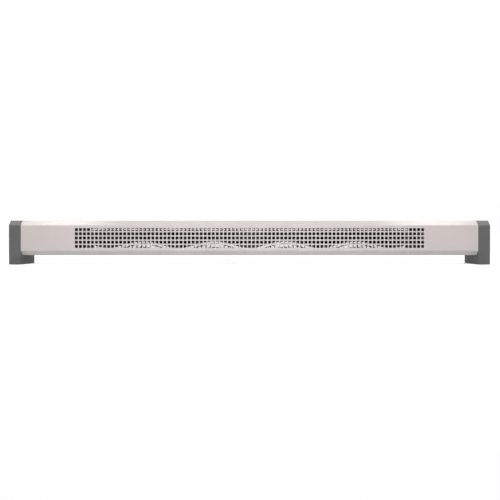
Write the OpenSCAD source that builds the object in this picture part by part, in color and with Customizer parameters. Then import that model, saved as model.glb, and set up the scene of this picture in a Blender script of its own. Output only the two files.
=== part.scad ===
// Low bench convector heater: a folded and punched steel cover on a folded rear
// panel, a finned hairpin element, a bright reflector, and moulded caps as legs.
// Millimetres. The origin is on the floor, at the middle of the length and depth.
// The front faces -Y and the right-hand end is +X.

/* [Body] */
// Inside length of the heated chamber, from bulkhead to bulkhead
heated_l = 792; // [600:1:1200]
// Inside length of the space between a bulkhead and its end plate
end_space_l = 103.4; // [93:0.2:140]
// Depth of the folded body, front to back
body_d = 75; // [68:0.5:90]
// Height of the folded body
body_h = 77.4; // [70:0.2:90]
// Height of the 45 degree slopes along the front
slope_h = 10.6; // [8:0.2:13]
// Space under the body
floor_gap = 21.2; // [18:0.2:40]
// Space between the body and the wall behind it
wall_gap = 12; // [10:0.5:25]

/* [Sheet metal] */
// Thickness of the front cover
cover_t = 1; // [0.8:0.1:1.5]
// Thickness of the rear panel
panel_t = 1; // [0.8:0.1:1.5]
// Thickness of the bulkheads
bulkhead_t = 1; // [0.8:0.1:1.5]
// Thickness of the end plates
end_plate_t = 1.2; // [0.8:0.1:2]
// Outer radius of the bends
bend_r = 1.8; // [1.6:0.1:2.6]
// Height of the cover's rear lip
cover_lip_h = 10; // [8:0.5:12]
// Depth of the cover's flange under the body
cover_flange_d = 12; // [8:0.5:16]
// Depth of the rear panel's flange under the top
panel_top_flange_d = 22.5; // [18:0.5:30]
// Gap between the front edge of the rear panel's lower flange and the front slope
panel_bottom_setback = 3; // [1:0.5:6]
// Length of the flange that fixes a bulkhead or an end plate to the rear panel
plate_flange_l = 8; // [7:0.5:10]
// Height of that flange
plate_flange_h = 16; // [14:0.5:18]
// Distance from the ends of the flange to its rivets
plate_rivet_inset = 4; // [3.5:0.1:5]
// Gap between the cover's rear lip and the heads of those rivets
lip_rivet_gap = 1.5; // [1:0.1:3]
// Gap round a plate inside the body, and round the spigot of a cap
plate_gap = 0.3; // [0.2:0.05:0.5]
// Gap all round a fastener, tube or wire in its hole
fit_gap = 0.2; // [0.15:0.05:0.3]

/* [Grille] */
// Side of the square holes
hole_w = 6.5; // [4:0.25:7.5]
// Spacing of the holes along the heater
hole_pitch_x = 9; // [8.5:0.1:14]
// Spacing of the rows of holes
hole_pitch_z = 9.4; // [8.5:0.1:12]
// Height of the band of holes
grille_h = 44.5; // [30:0.5:50]
// Blank stretch between a bulkhead and the first hole
grille_margin = 5.5; // [2:0.5:30]
// Width of an air inlet slot in the underside
inlet_w = 5; // [3:0.5:7]
// Length of an air inlet slot
inlet_l = 34; // [20:1:36]
// Spacing of the air inlet slots
inlet_pitch = 15; // [12:0.5:20]
// Gap between the air inlet slots and the rear bend
inlet_margin = 3; // [1:0.5:5]

/* [End caps] */
// Width of a cap outside the body
cap_w = 26.4; // [24:0.2:40]
// How far a cap stands proud of the sheet metal at the front and top
cap_proud = 0.5; // [0.2:0.1:1]
// Wall of a cap
cap_wall = 2.5; // [2:0.1:3.5]
// Radius of a cap's outer edges
cap_edge_r = 1.5; // [0.5:0.1:2]
// Length of the spigot that plugs into the body
spigot_l = 8; // [5:0.5:12]
// Wall of the spigot
spigot_t = 1.8; // [1.4:0.1:2.4]
// Gap between the spigot and the end plate
spigot_end_gap = 2; // [1:0.5:4]
// Seam between a cap and the end of the sheet metal
seam_gap = 0.3; // [0.2:0.05:0.5]
// Distance between the two screws of a cap
cap_screw_spacing = 44; // [36:0.5:48]
// Outer radius of a screw boss in a cap
cap_boss_r = 5.5; // [5:0.1:6.5]
// Depth of the recess for the head of a cap screw
cap_screw_recess = 3; // [2.8:0.1:4]
// Thickness of the ribs inside a leg
leg_rib_t = 1.8; // [1.2:0.1:2.5]
// Spacing of the ribs inside a leg
leg_rib_pitch = 15; // [12:0.5:18]
// Radius of a rubber foot
foot_r = 7; // [5.6:0.1:8]
// Thickness of a rubber foot
foot_t = 2; // [1.5:0.1:3]
// How far a foot stands proud of the leg
foot_proud = 0.5; // [0.3:0.1:1.2]
// Radius of a foot's stem
foot_stem_r = 3; // [2:0.1:3.5]
// Length of a foot's stem
foot_stem_l = 8; // [5:0.5:10]
// Wall of the boss round a foot's stem
foot_boss_t = 2; // [1.5:0.1:3]
// Distance of a foot from the front or back of the leg
foot_inset = 13.5; // [11.5:0.5:20]

/* [Heating element] */
// Radius of the element tube
tube_r = 4; // [3.5:0.1:5]
// Distance between the two runs of the element
tube_spacing = 27; // [26:0.5:30]
// Height of the element above the middle of the body
element_rise = 5; // [0:0.5:6]
// Thickness of a fin
fin_t = 0.5; // [0.4:0.1:1]
// Spacing of the fins
fin_pitch = 8; // [5:0.5:14]
// Depth of a fin, front to back
fin_d = 52; // [44:0.5:54]
// Height of a fin
fin_h = 26; // [18:0.5:28]
// Radius of a fin's corners
fin_corner_r = 6; // [2:0.5:8]
// Gap between the fins and the reflector
fin_gap = 7; // [4:0.5:9]
// Unfinned stretch of the element next to a bulkhead
fin_end_gap = 44; // [20:1:80]
// How far the bare bend reaches past the right bulkhead
bend_reach = 14; // [8:1:40]
// How far the tube reaches past the left bulkhead
tube_end_reach = 17; // [15:0.5:20]
// Radius of the threaded part of a bush
bush_r = 7; // [6.5:0.1:7.5]
// Width across flats of a bush and its nut
bush_flats = 19; // [17:0.5:21]
// Thickness of a bush's hexagon
bush_head_t = 4; // [3:0.5:6]
// Thickness of a bush's nut
bush_nut_t = 5; // [4:0.5:6]
// How far the thread reaches past the nut
bush_thread_l = 4; // [2:0.5:5]
// Length of a ceramic seal
seal_l = 4; // [3:0.5:5]
// Radius of a terminal pin
pin_r = 1.5; // [1.2:0.1:2]
// Length of a terminal pin beyond the tube
pin_l = 16; // [14:0.5:18]
// Height of the ceramic guide in the right bulkhead
guide_h = 13; // [12:0.5:16]
// Width of the guide's rim
guide_rim = 3; // [2:0.5:4]
// Thickness of the guide's rim
guide_rim_t = 2.5; // [2:0.5:4]
// How far the guide stands out past the bulkhead
guide_nose = 3; // [1:0.5:6]

/* [Reflector] */
// Thickness of the reflector
reflector_t = 0.5; // [0.4:0.1:0.8]
// Height from the reflector's upper bend to the inside of the top
reflector_top_gap = 14.2; // [13:0.2:18]
// Height from the inside of the underside to the reflector's lower bend
reflector_bottom_gap = 12.2; // [10:0.2:16]
// Angle between the reflector's wings and its upright back
wing_angle = 45; // [30:1:50]
// Length of the reflector's upper wing
top_wing_l = 16; // [8:0.5:17]
// Length of the reflector's lower wing
bottom_wing_l = 10; // [5:0.5:13]
// Gap between the end of the reflector and a bulkhead
reflector_end_gap = 12; // [10:1:60]
// Length of the spacers behind the reflector
spacer_l = 2; // [1.5:0.1:2.5]
// Radius of the spacers
spacer_r = 5; // [4:0.5:6]
// Number of spacers along the reflector
spacer_count = 4; // [2:1:8]

/* [Fasteners] */
// Radius of a rivet
rivet_r = 1.6; // [1.2:0.1:1.8]
// Radius of a rivet's heads
rivet_head_r = 3.2; // [2.8:0.1:3.4]
// Thickness of a rivet's heads
rivet_head_t = 1; // [0.6:0.1:1.4]
// Radius of the screws
screw_r = 1.75; // [1.5:0.05:2]
// Radius of a screw head
screw_head_r = 3.5; // [3.2:0.1:3.7]
// Height of a screw head
screw_head_h = 2.2; // [1.8:0.1:2.6]
// Length that a screw reaches past the sheet it bites in
screw_tip = 5; // [2:0.5:6]
// Number of screws along the cover's rear lip
cover_screw_count = 5; // [3:1:9]
// Distance from an end plate to the nearest of those screws
cover_screw_margin = 20; // [14:1:40]
// Distance between the two wall fixing holes
wall_hole_spacing = 860; // [856:1:864]
// Radius of a wall fixing hole
wall_hole_r = 2.75; // [2:0.25:3.5]
// Height of the wall fixing holes above the underside of the body
wall_hole_rise = 59; // [56:0.5:62]

/* [Overheat limiter] */
// Width of the limiter along the heater
limiter_w = 34; // [28:0.5:36]
// Depth of the limiter
limiter_d = 24; // [22:0.5:26]
// Height of the limiter
limiter_h = 22; // [18:0.5:24]
// Height of the limiter's middle above the middle of the body
limiter_rise = 17.3; // [16:0.1:19]
// Distance from the left bulkhead to the middle of the limiter
limiter_x = 66.5; // [65:0.5:70]
// Radius of the limiter's threaded neck
neck_r = 5; // [4.5:0.1:5.5]
// How far the neck stands out behind the rear panel
neck_l = 5.5; // [4.5:0.5:6]
// Width across flats of the limiter's nut
neck_nut_flats = 14; // [13:0.5:16]
// Thickness of the limiter's nut
neck_nut_t = 3; // [2:0.5:3.5]
// Radius of the reset button
button_r = 2.2; // [1.8:0.1:2.6]
// Gap round the reset button
button_gap = 0.3; // [0.2:0.05:0.4]
// How far the button stands out of the neck
button_proud = 2.5; // [2:0.1:3.5]
// Travel of the reset button
button_travel = 1.5; // [1:0.1:1.8]
// Radius of the collar that keeps the button in
collar_r = 3.7; // [3.3:0.1:4]
// Thickness of the collar
collar_t = 2; // [1:0.5:3]
// Radius of the limiter's sensor tube
capillary_r = 1; // [0.8:0.1:1.4]
// Distance from the sensor tube to the inside of the rear panel
capillary_setback = 6; // [5:0.5:8]
// Distance from the sensor tube to the inside of the top
capillary_drop = 6.2; // [5:0.2:7]
// Gap between the end of the sensor tube and the right bulkhead
capillary_end_gap = 96; // [40:1:200]
// Number of clips along the sensor tube
clip_count = 5; // [2:1:9]
// Distance from the left bulkhead, or the end of the sensor tube, to a clip
clip_margin = 20; // [10:1:40]

/* [Wiring] */
// Distance from the left bulkhead to the terminal block
block_setback = 13; // [12:0.5:15]
// Spacing of the poles of the terminal block
pole_pitch = 12.5; // [12:0.1:13]
// Depth of the terminal block
block_d = 18; // [16:0.5:20]
// Height of the terminal block
block_h = 18; // [16:0.5:19]
// Height of the terminal block above the underside of the body
block_rise = 9.2; // [8:0.2:10]
// Radius of a brass insert in the terminal block
insert_r = 3.2; // [3:0.1:3.6]
// Radius of a wire
wire_r = 1.3; // [1:0.1:1.4]
// Wall of a crimped sleeve
crimp_t = 0.8; // [0.6:0.1:1.2]
// Length of a crimped sleeve
crimp_l = 14; // [12:0.5:16]
// Width of a blade terminal
tab_w = 6.3; // [4.8:0.1:6.8]
// Thickness of a blade terminal
tab_t = 0.8; // [0.5:0.1:1]
// Length of a blade terminal
tab_l = 8; // [7:0.5:9]
// Distance between the two blade terminals
tab_spacing = 14; // [12:0.5:16]
// Distance from the left bulkhead to the earth stud
earth_setback = 6; // [5.5:0.1:6.5]
// Radius of the earth stud
earth_r = 2; // [1.5:0.1:2.3]
// Length of the earth stud
earth_l = 16; // [13:0.5:18]
// Height of the earth stud above the underside of the body
earth_rise = 19.2; // [18:0.2:21]
// Width across flats of an earth nut
earth_nut_flats = 7; // [6.5:0.1:8]
// Thickness of an earth nut
earth_nut_t = 3; // [2:0.5:3]

/* [Cable entry] */
// Distance from the left end plate to the cable entry
entry_setback = 18.4; // [18:0.2:19]
// Height of the cable entry above the underside of the body
entry_rise = 23.2; // [22:0.2:25]
// Width of the window behind the gland plate
window_w = 22; // [20:0.5:23]
// Width of the gland plate
gland_plate_w = 32; // [28:0.5:34]
// Height of the gland plate
gland_plate_h = 36; // [35:0.5:38]
// Thickness of the gland plate
gland_plate_t = 1.5; // [1:0.1:2]
// Distance between the gland plate's screws
gland_screw_spacing = 29; // [28.5:0.1:29]
// Radius of the bore for the cable
cable_r = 4; // [3:0.1:4.5]
// Radius of the grommet's neck
grommet_r = 6.3; // [5.8:0.1:7]
// Radius of the grommet's rims
grommet_rim_r = 8.5; // [8:0.1:9.5]
// Thickness of the grommet's rims
grommet_rim_t = 2.5; // [1.5:0.1:3.5]
// Distance from the terminal block to the middle of the cord clamp
clamp_setback = 7.5; // [5:0.5:9]
// Width of the cord clamp
clamp_w = 8; // [7.5:0.1:8.5]
// Length of the cord clamp
clamp_l = 28; // [27:0.5:30]
// Thickness of the cord clamp
clamp_t = 3; // [2:0.1:3.5]
// Distance from the ends of the cord clamp to its screws
clamp_screw_inset = 4; // [4:0.1:5]

/* [Hidden] */
$fn = 48;

// Colours
painted = "#c9c0bc";
chassis = "#3a3b3c";
moulded = "#666867";
rubber = "#1d1d1d";
zinc = "#a9adb0";
bright = "#d7dadc";
blackened = "#26241f";
brass = "#b89a52";
ceramic = "#e6e0d2";
black_plastic = "#242424";
red_plastic = "#b3231c";
brown_skin = "#7a4a28";
blue_skin = "#2c4f8c";
green_skin = "#4f8f3a";

// Places along Y and Z
eps = 0.05;
leg_front_y = -(cap_proud + body_d + wall_gap) / 2;
front_y = leg_front_y + cap_proud;
rear_y = front_y + body_d;
leg_rear_y = rear_y + wall_gap;
leg_mid_y = (leg_front_y + leg_rear_y) / 2;
base_z = floor_gap;
top_z = floor_gap + body_h;
mid_z = (base_z + top_z) / 2;
inner_front_y = front_y + cover_t;
panel_rear_y = rear_y - cover_t;
panel_front_y = panel_rear_y - panel_t;
panel_top_z = top_z - cover_t;
panel_base_z = base_z + cover_t;
bend_steps = 5;

// Places along X, all measured out from the middle
bulkhead_out_x = heated_l / 2 + bulkhead_t;
end_plate_in_x = bulkhead_out_x + end_space_l;
end_plate_out_x = end_plate_in_x + end_plate_t;
spigot_x = end_plate_out_x + spigot_end_gap;
body_end_x = spigot_x + spigot_l;
sheet_end_x = body_end_x - seam_gap;
cap_end_x = body_end_x + cap_w;

// Element and reflector
reflector_back_y = panel_front_y - spacer_l;
reflector_face_y = reflector_back_y - reflector_t;
reflector_high_z = panel_top_z - panel_t - reflector_top_gap;
reflector_low_z = panel_base_z + panel_t + reflector_bottom_gap;
element_z = mid_z + element_rise;
element_y = reflector_face_y - fin_gap - fin_d / 2;
tube_ys = [element_y - tube_spacing / 2, element_y + tube_spacing / 2];
finned_l = heated_l - 2 * fin_end_gap;
fin_count = floor(finned_l / fin_pitch) + 1;
reflector_l = heated_l - 2 * reflector_end_gap;
spacer_pitch = reflector_l / spacer_count;
spacer_xs = [for (i = [0 : spacer_count - 1])
    (i - (spacer_count - 1) / 2) * spacer_pitch];
tube_end_x = -(bulkhead_out_x + tube_end_reach);
bend_x = bulkhead_out_x + bend_reach;
seal_step = 0.3;
guide_end_flat = 1;

// Grille
grille_l = heated_l - 2 * grille_margin;
hole_cols = floor((grille_l - hole_w) / hole_pitch_x + 0.001) + 1;
hole_rows = floor((grille_h - hole_w) / hole_pitch_z + 0.001) + 1;
inlet_count = floor((grille_l - inlet_w) / inlet_pitch) + 1;
inlet_y = panel_front_y - bend_r - inlet_margin - inlet_l / 2;

// Caps
boss_ys = [leg_front_y + foot_inset, leg_rear_y - foot_inset];
foot_hole_spare = 1;
foot_hole_z = foot_t + foot_stem_l + foot_hole_spare;
cap_mid_x = body_end_x + cap_w / 2;
leg_web_z = base_z - cap_wall;
leg_rib_ys = [for (i = [-1 : 1]) leg_mid_y + i * leg_rib_pitch];
foot_boss_r = foot_stem_r + fit_gap + foot_boss_t;
cap_screw_y = (front_y + rear_y) / 2;
cap_screw_zs = [mid_z - cap_screw_spacing / 2, mid_z + cap_screw_spacing / 2];
cap_screw_seat_x = cap_end_x - cap_screw_recess;

// Sheet fixings
lip_screw_z = top_z - cover_lip_h / 2;
lip_screw_pitch = 2 * (end_plate_in_x - cover_screw_margin) / (cover_screw_count - 1);
lip_screw_xs = [for (i = [0 : cover_screw_count - 1])
    (i - (cover_screw_count - 1) / 2) * lip_screw_pitch];
wall_hole_z = base_z + wall_hole_rise;
wall_hole_xs = [-wall_hole_spacing / 2, wall_hole_spacing / 2];
flange_top_z = top_z - cover_lip_h - lip_rivet_gap - rivet_head_r + plate_rivet_inset;
flange_zs = [flange_top_z - plate_flange_h, flange_top_z];
flange_hole_zs = [flange_zs[0] + plate_rivet_inset, flange_zs[1] - plate_rivet_inset];
bulkhead_rivet_x = heated_l / 2 - plate_flange_l / 2;
end_rivet_x = end_plate_in_x - plate_flange_l / 2;

// Limiter
limiter_cx = -(bulkhead_out_x + limiter_x);
limiter_z = mid_z + limiter_rise;
limiter_front_y = panel_front_y - limiter_d;
limiter_corner_r = 2;
neck_end_y = panel_rear_y + neck_l;
chamber_setback = 5.5;
chamber_y = panel_front_y - chamber_setback;
spring_l = 3.2;
chamber_l = button_gap + collar_t + button_travel + spring_l;
collar_y = chamber_y - button_gap;
tab_xs = [limiter_cx - tab_spacing / 2, limiter_cx + tab_spacing / 2];
tab_box_wall = 0.7;
tab_box_back = 2.5;
tab_box_gap = 1;
tab_end_y = limiter_front_y - tab_l;
tab_box_y = tab_end_y - tab_box_back;
capillary_y = panel_front_y - capillary_setback;
capillary_z = panel_top_z - capillary_drop;
capillary_end_x = heated_l / 2 - capillary_end_gap;
capillary_hole_gap = 0.6;
clip_first_x = clip_margin - heated_l / 2;
clip_pitch = (capillary_end_x - clip_margin - clip_first_x) / (clip_count - 1);
clip_xs = [for (i = [0 : clip_count - 1]) clip_first_x + i * clip_pitch];
clip_w = 5;
clip_t = 0.8;
clip_foot_w = 6;

// Wiring
block_end_wall = 1.25;
block_w = 3 * pole_pitch + 2 * block_end_wall;
block_cx = -(bulkhead_out_x + block_setback + block_w / 2);
block_z = base_z + block_rise;
block_top_z = block_z + block_h;
block_front_y = panel_front_y - block_d;
pole_xs = [for (i = [-1 : 1]) block_cx + i * pole_pitch];
pole_y = panel_front_y - block_d / 2;
pole_screw_inset = 4.5;
pole_screw_zs = [block_z + pole_screw_inset, block_top_z - pole_screw_inset];
block_screw_xs = [block_cx - pole_pitch / 2, block_cx + pole_pitch / 2];
block_screw_z = (block_z + block_top_z) / 2;
block_screw_tip = 2;
insert_bore_r = wire_r + fit_gap;
insert_inset = 1.5;
pole_screw_r = 1.25;
pole_screw_head_r = 2;
pole_screw_head_h = 1.6;
pole_screw_lift = 0.1;
pin_end_x = tube_end_x - pin_l;
crimp_gap = 2;
crimp_x = tube_end_x - seal_l - crimp_gap;
crimp_end_x = crimp_x - crimp_l;
crimp_r = pin_r + fit_gap + crimp_t;
earth_x = -(bulkhead_out_x + earth_setback);
earth_z = base_z + earth_rise;
earth_flange_w = 2;
earth_flange_r = earth_r + earth_flange_w;
earth_flange_y = panel_front_y - 1;
earth_ring_t = 0.8;
earth_ring_y = earth_flange_y - earth_nut_t;
earth_neck_l = 9;
earth_neck_z = earth_z + earth_neck_l;

// Cable entry
entry_x = -(end_plate_in_x - entry_setback);
entry_z = base_z + entry_rise;
gland_screw_zs = [entry_z - gland_screw_spacing / 2, entry_z + gland_screw_spacing / 2];
gland_face_y = panel_rear_y + gland_plate_t;
gland_corner_r = 3;
grommet_front_y = panel_rear_y - grommet_rim_t;
grommet_rear_y = gland_face_y + grommet_rim_t;
clamp_hump_t = 2.5;
clamp_squeeze = 0.85;
clamp_cx = block_cx - block_w / 2 - clamp_setback;
clamp_screw_z = clamp_l / 2 - clamp_screw_inset;
clamp_screw_zs = [entry_z - clamp_screw_z, entry_z + clamp_screw_z];

// Routes of the wires, point by point
live_in_route = [
    [pole_xs[0], pole_y, block_top_z - 8],
    [pole_xs[0], pole_y, block_top_z],
    [pole_xs[0], pole_y, block_top_z + 5],
    [block_cx - 17, element_y + 12, element_z - 5],
    [tab_xs[1] + 5, limiter_front_y - 15, limiter_z - 13],
    [tab_xs[1], tab_box_y - 9, limiter_z - 4],
    [tab_xs[1], tab_box_y - 5, limiter_z],
    [tab_xs[1], tab_box_y, limiter_z]];
live_out_route = [
    [crimp_end_x, tube_ys[0], element_z],
    [crimp_end_x - 5, tube_ys[0], element_z],
    [crimp_end_x - 14, tube_ys[0], element_z + 2],
    [tab_xs[0] + 14, tube_ys[0] + 1, limiter_z - 5],
    [tab_xs[0] + 2, tab_box_y - 10, limiter_z - 1],
    [tab_xs[0], tab_box_y - 5, limiter_z],
    [tab_xs[0], tab_box_y, limiter_z]];
neutral_route = [
    [crimp_end_x, tube_ys[1], element_z],
    [crimp_end_x - 3, tube_ys[1], element_z],
    [crimp_end_x - 5, tube_ys[1] + 4, element_z - 2],
    [pole_xs[1] - 2, pole_y - 1, block_top_z + 9],
    [pole_xs[1], pole_y, block_top_z + 5],
    [pole_xs[1], pole_y, block_top_z],
    [pole_xs[1], pole_y, block_top_z - 8]];
earth_route = [
    [pole_xs[2], pole_y, block_top_z - 8],
    [pole_xs[2], pole_y, block_top_z],
    [pole_xs[2], pole_y, block_top_z + 4],
    [(pole_xs[2] + earth_x) / 2, pole_y + 1, block_top_z + 10],
    [earth_x, earth_ring_y - earth_ring_t / 2, earth_neck_z + 5],
    [earth_x, earth_ring_y - earth_ring_t / 2, earth_neck_z]];
capillary_route = [
    [limiter_cx + limiter_w / 2, capillary_y, limiter_z + 4],
    [limiter_cx + limiter_w / 2 + 3, capillary_y, limiter_z + 4],
    [limiter_cx + limiter_w / 2 + 6, capillary_y, limiter_z + 4],
    [limiter_cx + limiter_w / 2 + 18, capillary_y, capillary_z - 2],
    [-(bulkhead_out_x + 12), capillary_y, capillary_z],
    [-(bulkhead_out_x + 4), capillary_y, capillary_z]];

// Vectors, bends and smooth routes
function unit(v) = v / norm(v);
function left_of(v) = [-v[1], v[0]];
function edge_normal(p, i) = unit(left_of(p[i + 1] - p[i]));
function bend_centre(p, i, n1, n2) = p[i] + (n1 + n2) * bend_r / (1 + n1 * n2);
function bend_arc(p, i, r) = let (
    n1 = edge_normal(p, i - 1),
    n2 = edge_normal(p, i),
    c = bend_centre(p, i, n1, n2),
    a = acos(n1 * n2))
    [for (k = [0 : bend_steps]) let (t = a * k / bend_steps)
        c - r * (n1 * cos(t) + left_of(n1) * sin(t))];
function bend_run(p, r) = [for (i = [1 : len(p) - 2]) each bend_arc(p, i, r)];
function reversed(v) = [for (i = [len(v) - 1 : -1 : 0]) v[i]];

// Outline of a folded sheet whose outside follows the points p and turns left
function folded_sheet(p, t) = let (last = len(p) - 1) concat(
    [p[0]], bend_run(p, bend_r), [p[last]],
    [p[last] + t * edge_normal(p, last - 1)],
    reversed(bend_run(p, bend_r - t)),
    [p[0] + t * edge_normal(p, 0)]);

function curve_point(a, b, c, d, t) = 0.5 * (2 * b + (c - a) * t
    + (2 * a - 5 * b + 4 * c - d) * t * t + (3 * b - a - 3 * c + d) * t * t * t);
function smooth_route(p, steps) = let (
    last = len(p) - 1,
    q = concat([2 * p[0] - p[1]], p, [2 * p[last] - p[last - 1]]))
    concat([for (i = [0 : last - 1], k = [0 : steps - 1])
        curve_point(q[i], q[i + 1], q[i + 2], q[i + 3], k / steps)], [p[last]]);
function direction(p, i) = unit(p[min(i + 1, len(p) - 1)] - p[max(i - 1, 0)]);
function across(u, t) = unit(u - (u * t) * t);
function side_vectors(p) = [for (i = 0, u = across([0.31, 0.57, 0.76], direction(p, 0));
    i < len(p);
    i = i + 1, u = i < len(p) ? across(u, direction(p, i)) : u) u];

// Inside of the body: what a plate or a spigot fits, with a gap all round
function inner_outline(gap) = let (
    s = cover_t + gap,
    w = cover_t + panel_t + gap,
    k = s * (sqrt(2) - 1),
    m = s * sqrt(2) - w,
    b = bend_r)
    [[front_y + slope_h + m, base_z + w], [rear_y - w - b, base_z + w],
     [rear_y - w, base_z + w + b], [rear_y - w, top_z - w - b],
     [rear_y - w - b, top_z - w], [front_y + slope_h + m, top_z - w],
     [front_y + s, top_z - slope_h - k], [front_y + s, base_z + slope_h + k]];

// Side view of a cap, drawn in by a wall
function cap_outline(inset, z0) = let (
    k = (inset - cap_proud) * (sqrt(2) - 1),
    corner = cap_proud + slope_h + k)
    [[leg_front_y + inset, z0], [leg_rear_y - inset, z0],
     [leg_rear_y - inset, top_z - slope_h - k],
     [leg_rear_y - corner, top_z + cap_proud - inset],
     [leg_front_y + corner, top_z + cap_proud - inset],
     [leg_front_y + inset, top_z - slope_h - k]];

cover_path = [
    [rear_y, top_z - cover_lip_h], [rear_y, top_z],
    [front_y + slope_h, top_z], [front_y, top_z - slope_h],
    [front_y, base_z + slope_h], [front_y + slope_h, base_z],
    [front_y + slope_h + cover_flange_d, base_z]];
panel_path = [
    [front_y + slope_h + panel_bottom_setback, panel_base_z],
    [panel_rear_y, panel_base_z], [panel_rear_y, panel_top_z],
    [panel_rear_y - panel_top_flange_d, panel_top_z]];
reflector_path = [
    [reflector_back_y - bottom_wing_l * sin(wing_angle),
     reflector_low_z - bottom_wing_l * cos(wing_angle)],
    [reflector_back_y, reflector_low_z], [reflector_back_y, reflector_high_z],
    [reflector_back_y - top_wing_l * sin(wing_angle),
     reflector_high_z + top_wing_l * cos(wing_angle)]];

// Runs a YZ outline along X, an XZ outline along Y, or rods along each axis
module along_x(x0, x1) {
    translate([x0, 0, 0])
        rotate([90, 0, 90])
            linear_extrude(x1 - x0)
                children();
}

module along_y(y0, y1) {
    translate([0, y1, 0])
        rotate([90, 0, 0])
            linear_extrude(y1 - y0)
                children();
}

module rod_x(r, x0, x1, y, z) {
    translate([x0, y, z])
        rotate([0, 90, 0])
            cylinder(h = x1 - x0, r = r);
}

module rod_y(r, y0, y1, x, z) {
    translate([x, y0, z])
        rotate([-90, 0, 0])
            cylinder(h = y1 - y0, r = r);
}

module rod_z(r, z0, z1, x, y) {
    translate([x, y, z0])
        cylinder(h = z1 - z0, r = r);
}

module rounded_rect(w, h, r) {
    square([w - 2 * r, h], center = true);
    square([w, h - 2 * r], center = true);
    for (x = [-1, 1], y = [-1, 1])
        translate([x * (w / 2 - r), y * (h / 2 - r)])
            circle(r);
}

module hexagon(flats) {
    circle(r = flats / sqrt(3), $fn = 6);
}

// A pan-head screw that points along +Z with its head below zero
module screw(r, head_r, head_h, l) {
    recess_w = head_r * 0.26;
    recess_l = head_r * 1.2;
    recess_d = head_h * 0.6;
    difference() {
        union() {
            cylinder(h = l, r = r);
            translate([0, 0, -head_h])
                cylinder(h = head_h, r = head_r);
        }
        for (a = [0, 90])
            rotate([0, 0, a])
                translate([-recess_l / 2, -recess_w / 2, -head_h - eps])
                    cube([recess_l, recess_w, recess_d]);
    }
}

module screw_towards_rear(x, y, z, l, r = screw_r, head_r = screw_head_r, head_h = screw_head_h) {
    translate([x, y, z])
        rotate([-90, 0, 0])
            screw(r, head_r, head_h, l);
}

module screw_towards_front(x, y, z, l) {
    translate([x, y, z])
        rotate([90, 0, 0])
            screw(screw_r, screw_head_r, screw_head_h, l);
}

// A rivet along Y, closed up between two faces
module rivet(x, z, y0, y1) {
    rod_y(rivet_r, y0 - eps, y1 + eps, x, z);
    rod_y(rivet_head_r, y0 - rivet_head_t, y0, x, z);
    rod_y(rivet_head_r, y1, y1 + rivet_head_t, x, z);
}

// A round tube swept along a route
module swept_tube(route, r, sides = 8) {
    us = side_vectors(route);
    n = len(route);
    points = [for (i = [0 : n - 1]) let (v = cross(us[i], direction(route, i)))
        for (k = [0 : sides - 1]) let (a = 360 * k / sides)
            route[i] + r * (us[i] * cos(a) + v * sin(a))];
    walls = [for (i = [0 : n - 2], k = [0 : sides - 1]) let (j = (k + 1) % sides)
        each [[i * sides + k, i * sides + j, (i + 1) * sides + k],
              [i * sides + j, (i + 1) * sides + j, (i + 1) * sides + k]]];
    polyhedron(points, concat([[for (k = [sides - 1 : -1 : 0]) k]], walls,
        [[for (k = [0 : sides - 1]) (n - 1) * sides + k]]));
}

module both_ends(right) {
    mirror([right ? 0 : 1, 0, 0])
        children();
}

// Punched front and everything folded from the same sheet
module front_cover() {
    color(painted)
        difference() {
            along_x(-sheet_end_x, sheet_end_x)
                polygon(folded_sheet(cover_path, cover_t));
            along_y(front_y - eps, inner_front_y + eps)
                for (i = [0 : hole_cols - 1], j = [0 : hole_rows - 1])
                    translate([(i - (hole_cols - 1) / 2) * hole_pitch_x,
                               mid_z + (j - (hole_rows - 1) / 2) * hole_pitch_z])
                        square(hole_w, center = true);
            for (x = lip_screw_xs)
                rod_y(screw_r + fit_gap, rear_y - cover_t - eps, rear_y + eps, x, lip_screw_z);
        }
}

// Air inlet slots with round ends
module inlet_slots() {
    translate([0, 0, panel_base_z - eps])
        linear_extrude(panel_t + 2 * eps)
            for (i = [0 : inlet_count - 1])
                translate([(i - (inlet_count - 1) / 2) * inlet_pitch, inlet_y])
                    rounded_rect(inlet_w, inlet_l, inlet_w / 2 - eps);
}

module panel_hole(r, x, z) {
    rod_y(r, panel_front_y - eps, panel_rear_y + eps, x, z);
}

// Chassis: back, underside and top flange, with every hole that it needs
module rear_panel() {
    color(chassis)
        difference() {
            along_x(-sheet_end_x, sheet_end_x)
                polygon(folded_sheet(panel_path, panel_t));
            inlet_slots();
            for (x = wall_hole_xs)
                panel_hole(wall_hole_r, x, wall_hole_z);
            for (x = lip_screw_xs)
                panel_hole(screw_r + fit_gap, x, lip_screw_z);
            for (x = spacer_xs)
                panel_hole(rivet_r + fit_gap, x, element_z);
            for (x = [-end_rivet_x, -bulkhead_rivet_x, bulkhead_rivet_x, end_rivet_x], z = flange_hole_zs)
                panel_hole(rivet_r + fit_gap, x, z);
            for (x = block_screw_xs)
                panel_hole(pole_screw_r + fit_gap, x, block_screw_z);
            for (z = clamp_screw_zs)
                panel_hole(screw_r + fit_gap, clamp_cx, z);
            for (z = gland_screw_zs)
                panel_hole(screw_r + fit_gap, entry_x, z);
            panel_hole(neck_r + fit_gap, limiter_cx, limiter_z);
            translate([entry_x - window_w / 2, panel_front_y - eps, entry_z - window_w / 2])
                cube([window_w, panel_t + 2 * eps, window_w]);
        }
}

// Flange that lies against the rear panel and takes two rivets
module plate_flange(x0, t, rivet_x) {
    difference() {
        translate([x0, panel_front_y - t, flange_zs[0]])
            cube([plate_flange_l + t, t, flange_zs[1] - flange_zs[0]]);
        for (z = flange_hole_zs)
            rod_y(rivet_r + fit_gap, panel_front_y - t - eps, panel_front_y + eps, rivet_x, z);
    }
}

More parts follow.
